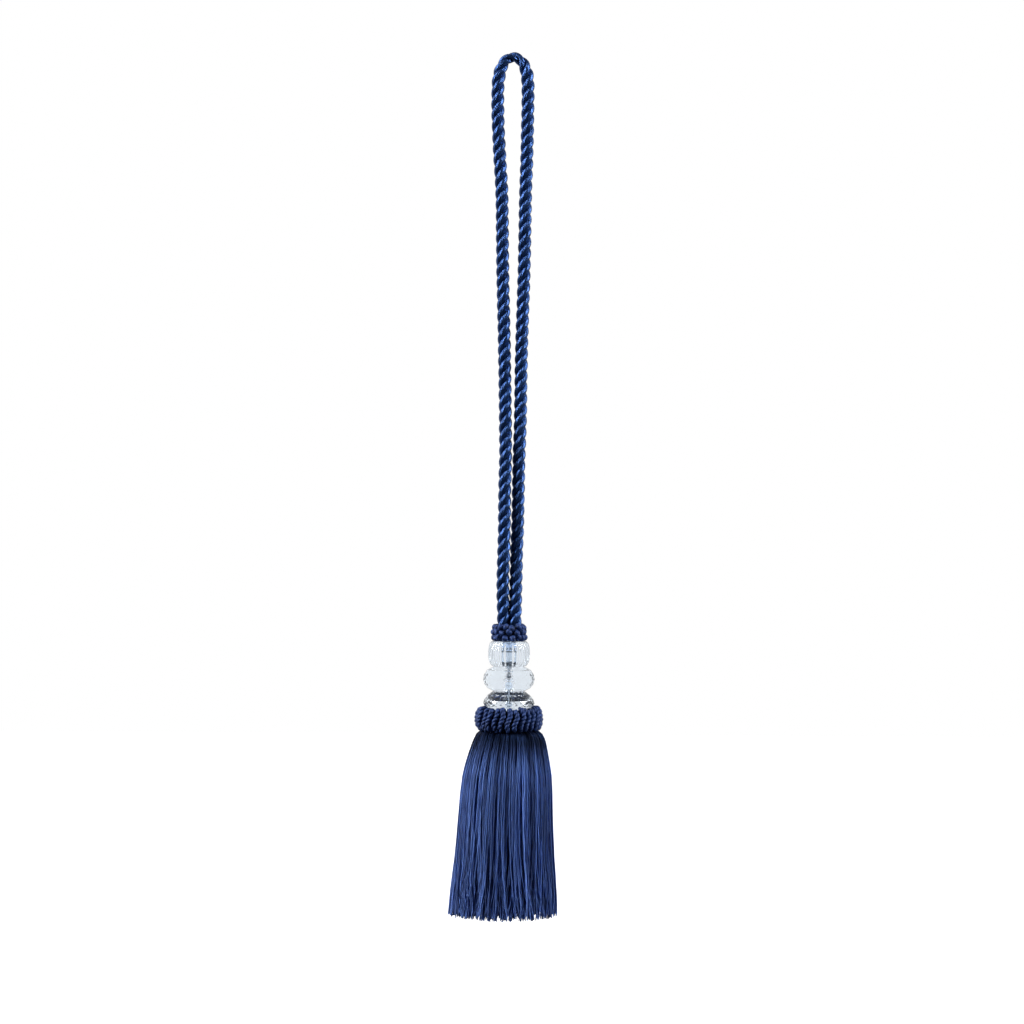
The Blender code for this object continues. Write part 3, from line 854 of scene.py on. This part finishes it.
# Skirt. Fourteen hundred two-ply rayon threads hang in three layers from a head that is bound with
# thread. They are cut off level by hand, so the hem is a little uneven.
SKIRT_TOP = -0.4478
SKIRT_PROFILE = [  # depth under the skirt's top, outer radius, sideways shift
    (-0.0004, 0.0165, 0.0005),
    (0.0006, 0.0195, 0.0005),
    (0.0030, 0.0223, 0.0006),
    (0.0069, 0.0242, 0.0006),
    (0.0150, 0.0265, 0.0),
    (0.0230, 0.0284, -0.0005),
    (0.0310, 0.0300, -0.0008),
    (0.0430, 0.0311, -0.0012),
    (0.0633, 0.0322, -0.0018),
    (0.0875, 0.0338, -0.0022),
    (0.1116, 0.0361, -0.0027),
    (0.1244, 0.0371, -0.0030),
]
THREAD_NAVY = (0.145, 0.275, 0.780, 1.0)
THREAD_SHADE = (0.008, 0.018, 0.075, 1.0)
THREAD_GLINT = (0.55, 0.62, 0.95, 1.0)
THREAD_LAY = 0.0022  # one full turn of a thread's two plies
THREAD_GRAIN = (1.2, 1.2, 160.0)
TONE_SHADE = 0.6  # how much of a thread's shade is its own tone
GRAIN_SHADE = 0.4  # how much is its fibre's
PLY_PAINTED_HIGHLIGHT = 0.15  # how much comes from its two plies: a painted highlight along the twist
PAINTED_ROOT_END = 0.07  # share of a thread's length, close under the ruff, that gets the full painted shade
PAINTED_ROOT_FADE = 0.27  # share at which that painted shade has faded out and it is as light as the rest
PAINTED_ROOT_SHADE = 0.10  # how light the painted shade leaves the colour at the root, against the rest
THREAD_METALLIC = 0.60  # below the root. At the root it is 1, which keeps white sheen off the painted shade there
THREAD_STRAY = 1.6  # how far round a thread may stand from its even place, in threads
LOCK_MIDDLE = (0.2, 0.8)  # where in its stretch of the round a lock may draw together
LOCK_HOLD = (-0.2, 1.0)  # how strongly it does. Under zero it spreads.
LOCK_POWER = 1.3  # power by which it draws in on the way down
SPLAY_POWER = 4.0  # power by which the ends splay on the way down
HEM_POWER = 2.0  # the higher, the more threads reach the hem
SLOW_WAVES = 0.5  # waves in a thread's length, for each of its sways
QUICK_WAVES = 1.6
QUICK_SWAY = 0.35  # as a share of the slow one
OUTWARD_WAVES = 0.8
OUTWARD_SWAY = 0.3  # as a share of the sideways sway
CRIMP_WAVES = 7.0
FIBRE_SHIFT = 9.0  # metres by which one thread's fibre may start off another's
thread_sizes = {
    "Threads": 440,
    "Points": 40,
    "Sides": 5,
    "Thread Radius": 0.00031,
    "Share Low": 0.93,
    "Share High": 1.0,
    "Sway": 0.0022,
    "Crimp": 0.00028,
    "Splay": 0.0095,
    "Locks": 72,
    "Lock Pull": 0.75,
    "Lock Depth": 0.07,
    "Hem Uneven": 0.042,
    "Lightest": 1.0,
    "Seed": 5,
    "Top": SKIRT_TOP,
}


def skirt_tree(sizes_of_one, finish):
    """Threads round the skirt. The guide holds one thread as (radius, sideways shift, height)."""
    tree, sizes = growth_tree("thread_skirt", sizes_of_one)
    parameter = node(tree, "GeometryNodeSplineParameter").outputs
    kept = captured(
        tree, even_line(tree, sizes),
        down=("FLOAT", parameter["Factor"]), along=("FLOAT", parameter["Length"]),
    )
    down = kept["down"]
    copies = copied(tree, kept["Geometry"], sizes["Threads"])
    number = copies["Duplicate Index"]
    seeds = [plus(tree, sizes["Seed"], float(i)) for i in range(16)]
    place = split(tree, position(tree))
    place_in_row = plus(tree, number, chance(tree, 0.0, THREAD_STRAY, seeds[0], number))
    turn = calc(tree, "DIVIDE", place_in_row, sizes["Threads"])
    lock = calc(tree, "FLOOR", times(tree, turn, sizes["Locks"]))
    lock_place = plus(tree, lock, chance(tree, *LOCK_MIDDLE, seeds[1], lock))
    lock_turn = calc(tree, "DIVIDE", lock_place, sizes["Locks"])
    hold = times(tree, sizes["Lock Pull"], chance(tree, *LOCK_HOLD, seeds[2], lock))
    pull = times(tree, hold, calc(tree, "POWER", down, LOCK_POWER))
    gathered = plus(tree, turn, times(tree, calc(tree, "SUBTRACT", lock_turn, turn), pull))

    def swing(first, waves):
        """A slow wave down the thread, with its own size and start on each."""
        size = chance(tree, -1.0, 1.0, seeds[first], number)
        start = chance(tree, 0.0, 1.0, seeds[first + 1], number)
        phase = plus(tree, times(tree, down, waves), start)
        return times(tree, size, calc(tree, "SINE", times(tree, phase, 2 * math.pi)))

    reach = times(tree, sizes["Sway"], down)
    sways = plus(tree, swing(3, SLOW_WAVES), times(tree, swing(5, QUICK_WAVES), QUICK_SWAY))
    crimp = times(tree, sizes["Crimp"], swing(11, CRIMP_WAVES))
    parted = times(tree, sizes["Splay"], chance(tree, -1.0, 1.0, seeds[13], number))
    splay = times(tree, parted, calc(tree, "POWER", down, SPLAY_POWER))
    sideways = plus(tree, times(tree, reach, sways), crimp, splay)
    outward = times(tree, reach, swing(7, OUTWARD_WAVES), OUTWARD_SWAY)
    sunk = times(tree, chance(tree, 0.0, 1.0, seeds[12], lock), sizes["Lock Depth"])
    share = calc(
        tree, "SUBTRACT",
        chance(tree, sizes["Share Low"], sizes["Share High"], seeds[9], number),
        times(tree, sunk, calc(tree, "SQRT", down)),
    )
    radius = plus(tree, times(tree, place["X"], share), outward)
    angle = plus(tree, times(tree, gathered, 2 * math.pi), calc(tree, "DIVIDE", sideways, radius))
    cut = calc(tree, "POWER", chance(tree, 0.0, 1.0, seeds[10], number), HEM_POWER)
    shorter = calc(tree, "SUBTRACT", 1.0, times(tree, sizes["Hem Uneven"], cut))
    depth = times(tree, calc(tree, "SUBTRACT", place["Z"], sizes["Top"]), shorter)
    height = plus(tree, sizes["Top"], depth)
    hung = put(
        tree, copies["Geometry"], Position=about_axis(tree, radius, angle, height, place["Y"])
    )
    rim = captured(tree, circle(tree, sizes["Sides"]), rim=("VECTOR", position(tree)))
    inputs = {
        "Curve": hung,
        "Profile Curve": rim["Geometry"],
        "Scale": sizes["Thread Radius"],
        "Fill Caps": True,
    }
    threads = node(tree, "GeometryNodeCurveToMesh", inputs).outputs[0]
    round_thread = split(tree, rim["rim"])
    far = plus(tree, kept["along"], chance(tree, 0.0, FIBRE_SHIFT, seeds[14], number))
    fibre = vector(tree, round_thread["X"], round_thread["Y"], far)
    threads = stored(tree, threads, "fibre", fibre, "FLOAT_VECTOR")
    tone = chance(tree, 0.0, sizes["Lightest"], seeds[15], number)
    threads = stored(tree, threads, "tone", tone)
    # The finish reads down for the painted shade near the root.
    end_tree(tree, stored(tree, threads, "down", down), finish)
    return tree


def thread_finish():
    """Rayon thread: two plies twisted together, each thread a little lighter or darker than the next.

    The threads lie close under the ruff, and painted shade darkens them near the root, standing in for
    the ruff's shadow.
    """
    made, tree, shader = new_finish("rayon_thread")
    fibre = attribute(tree, "fibre", "Vector")
    place = split(tree, fibre)
    turn = times(tree, place["Z"], 2 * math.pi / THREAD_LAY)
    plies = plus(
        tree,
        times(tree, place["X"], calc(tree, "COSINE", turn)),
        times(tree, place["Y"], calc(tree, "SINE", turn)),
    )
    plies = calc(tree, "ABSOLUTE", plies)
    noise = grain(tree, fibre, THREAD_GRAIN)
    tone = times(tree, attribute(tree, "tone"), TONE_SHADE)
    # The plies' part of the shade is a painted highlight along the twist.
    shade = plus(tree, tone, times(tree, noise, GRAIN_SHADE), times(tree, plies, PLY_PAINTED_HIGHLIGHT))
    dyed = ramp(tree, shade, (0.20, THREAD_SHADE), (0.85, THREAD_NAVY))
    down = attribute(tree, "down")
    # Painted shade: the colour darkens towards the root, standing in for the ruff's shadow.
    painted_root_shade = ranged(
        tree, down, PAINTED_ROOT_END, PAINTED_ROOT_FADE, PAINTED_ROOT_SHADE, 1.0, interpolation_type="SMOOTHSTEP"
    )
    bump = node(tree, "ShaderNodeBump", {"Strength": 0.8, "Distance": 0.00015, "Height": plies})
    feed(tree, shader, {
        "Base Color": scaled(tree, dyed, painted_root_shade),
        "Roughness": ranged(tree, noise, 0.0, 1.0, 0.26, 0.42),
        "Normal": bump.outputs[0],
        "Metallic": ranged(tree, down, PAINTED_ROOT_END, PAINTED_ROOT_FADE, 1.0, THREAD_METALLIC),
        "Sheen Weight": 0.05,
        "Sheen Roughness": 0.35,
        "Sheen Tint": THREAD_GLINT,
    })
    return made


def hung_threads(name, points, layer_sizes):
    """One layer of the skirt's threads as a piece."""
    tree = skirt_tree(layer_sizes, rayon_thread)
    layer = grown(name, points, tree, layer_sizes, rayon_thread)
    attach(layer, "root")
    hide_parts("skirt")


rayon_thread = thread_finish()
thread_line = [(radius, shift, SKIRT_TOP - depth) for depth, radius, shift in SKIRT_PROFILE]
hung_threads("skirt_threads_outer", thread_line, thread_sizes)
# The deeper layers get a lower Lightest, so their threads' colour is darker: painted shade for the
# threads that lie inside.
hung_threads(
    "skirt_threads_middle", thread_line,
    {
        **thread_sizes,
        "Threads": 480,
        "Points": 30,
        "Share Low": 0.83,
        "Share High": 0.94,
        "Lightest": 0.5,
        "Seed": 25,
    },
)
hung_threads(
    "skirt_threads_inner", thread_line,
    {
        **thread_sizes,
        "Threads": 480,
        "Thread Radius": 0.00045,
        "Points": 14,
        "Sides": 4,
        "Share Low": 0.20,
        "Share High": 0.84,
        "Lightest": 0.3,
        "Seed": 45,
    },
)

# Its head: a low turned drum bound round with the same thread, with a neck up to the flared bead.
HEAD_SECTION = [  # radius and depth under the skirt's top, down the outside
    (0.0, -0.0105),
    (0.0120, -0.0105),
    (0.0131, -0.0098),
    (0.0132, -0.0010),
    (0.0150, 0.0000),
    (0.0185, 0.0006),
    (0.0195, 0.0020),
    (0.0192, 0.0040),
    (0.0150, 0.0052),
    (0.0, 0.0055),
]
HEAD_STEPS = 64
BINDING_PITCH = 0.0006  # between two turns of the thread that binds the head
BINDING_GRAIN = 900.0  # how fine its fibre is


def turned_mesh(name, section, top, steps):
    """A solid turned from a section that starts and ends on the axis."""
    points = [(0.0, 0.0, top - section[0][1])]
    for radius, depth in section[1:-1]:
        for i in range(steps):
            angle = 2 * math.pi * i / steps
            points.append((radius * math.cos(angle), radius * math.sin(angle), top - depth))
    points.append((0.0, 0.0, top - section[-1][1]))
    faces = []
    rings = len(section) - 2
    for i in range(steps):
        after = (i + 1) % steps
        faces.append((0, 1 + i, 1 + after))
        for ring in range(rings - 1):
            first = 1 + ring * steps
            faces.append((first + i, first + steps + i, first + steps + after, first + after))
        last = 1 + (rings - 1) * steps
        faces.append((last + i, len(points) - 1, last + after))
    mesh = bpy.data.meshes.new(name)
    mesh.from_pydata(points, [], faces)
    mesh.shade_smooth()
    made = bpy.data.objects.new(name, mesh)
    bpy.context.scene.collection.objects.link(made)
    return made


def binding_finish():
    """Thread wound round and round the head."""
    made, tree, shader = new_finish("thread_binding")
    place = node(tree, "ShaderNodeTexCoord").outputs["Object"]
    turns = calc(tree, "SINE", times(tree, split(tree, place)["Z"], 2 * math.pi / BINDING_PITCH))
    inputs = {"Vector": place, "Scale": BINDING_GRAIN, "Detail": 2.0}
    noise = node(tree, "ShaderNodeTexNoise", inputs).outputs["Fac"]
    # The turns paint shade and highlight into the colour along the binding.
    shade = plus(tree, times(tree, turns, 0.15), noise)
    bump = node(tree, "ShaderNodeBump", {"Strength": 0.6, "Distance": 0.0002, "Height": turns})
    feed(tree, shader, {
        "Base Color": ramp(tree, shade, (0.30, THREAD_SHADE), (0.80, THREAD_NAVY)),
        "Normal": bump.outputs[0],
        "Roughness": 0.5,
    })
    return made


head = turned_mesh("bound_head", HEAD_SECTION, SKIRT_TOP, HEAD_STEPS)
head.data.materials.append(binding_finish())
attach(head, "root")
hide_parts("skirt")


# Floor and light. The tassel hangs in a white room, well above a pale floor. A tall soft lamp stands at
# each side, the left one stronger. The white wall behind gives the strands and threads their lit edges.
FLOOR_Z = -0.90
FLOOR_REACH = 6.0  # from the middle to each side
FLOOR_PALE = (0.90, 0.90, 0.90, 1.0)
WHITE = (1.0, 1.0, 1.0, 1.0)
FILL = 0.05  # light from the front of the room
FILL_END = -0.10  # where a look towards the back leaves the front's light
WALL = 0.80  # light from the wall behind
WALL_START = 0.50  # where it meets the wall's full light
SIDE_REACH = 0.6  # how far to a side the room's light changes
RIGHT_SIDE = 0.45  # light of its right side, as a share of the left side's
DUSK = 0.30  # what the beads show of the room far below them
DUSK_ABOVE = -0.60  # how steeply down a look through a bead goes before it dims
DUSK_BELOW = -0.75  # where it has dimmed fully

floor_corners = [(-1.0, -1.0), (1.0, -1.0), (1.0, 1.0), (-1.0, 1.0)]
floor_points = [(FLOOR_REACH * x, FLOOR_REACH * y, FLOOR_Z) for x, y in floor_corners]
floor_mesh = bpy.data.meshes.new("floor")
floor_mesh.from_pydata(floor_points, [], [(0, 1, 2, 3)])
floor = bpy.data.objects.new("floor", floor_mesh)
bpy.context.scene.collection.objects.link(floor)
pale_floor, tree, shader = new_finish("pale_floor")
feed(tree, shader, {
    "Base Color": FLOOR_PALE,
    "Roughness": 0.9,
    "Emission Color": WHITE,
    "Emission Strength": 1.0,
})
floor_mesh.materials.append(pale_floor)
floor.visible_diffuse = False
floor.visible_glossy = False
floor.visible_transmission = False


def strip_lamp(name, place, aim, width, height, power):
    """A tall soft lamp that looks at a point."""
    light = bpy.data.lights.new(name, "AREA")
    light.shape = "RECTANGLE"
    light.size = width
    light.size_y = height
    light.energy = power
    obj = bpy.data.objects.new(name, light)
    obj.location = place
    obj.rotation_mode = "QUATERNION"
    obj.rotation_quaternion = (Vector(aim) - Vector(place)).to_track_quat("-Z", "Y")
    bpy.context.scene.collection.objects.link(obj)


strip_lamp("left_lamp", (-2.5, -0.8, 1.0), (0.0, 0.0, -0.35), width=0.6, height=2.6, power=105.0)
strip_lamp("right_lamp", (2.5, -0.8, 1.0), (0.0, 0.0, -0.40), width=0.6, height=2.2, power=90.0)

room = bpy.data.worlds.new("room")
bpy.context.scene.world = room
room.use_nodes = True
tree = room.node_tree
path = node(tree, "ShaderNodeLightPath")
towards = split(tree, node(tree, "ShaderNodeTexCoord").outputs["Generated"])
steep = ranged(tree, towards["Z"], DUSK_ABOVE, DUSK_BELOW, 1.0, DUSK)
through = times(tree, path.outputs["Is Transmission Ray"], steep)
back = ranged(
    tree, towards["Y"], FILL_END, WALL_START, FILL, WALL, interpolation_type="SMOOTHSTEP"
)
leftward = ranged(tree, towards["X"], -SIDE_REACH, SIDE_REACH, 1.0, RIGHT_SIDE)
seen = calc(tree, "MAXIMUM", path.outputs["Is Camera Ray"], through)
strength = calc(tree, "MAXIMUM", seen, times(tree, back, leftward))
feed(tree, tree.nodes["Background"], {"Color": WHITE, "Strength": strength})
bpy.context.scene.view_settings.view_transform = "Standard"
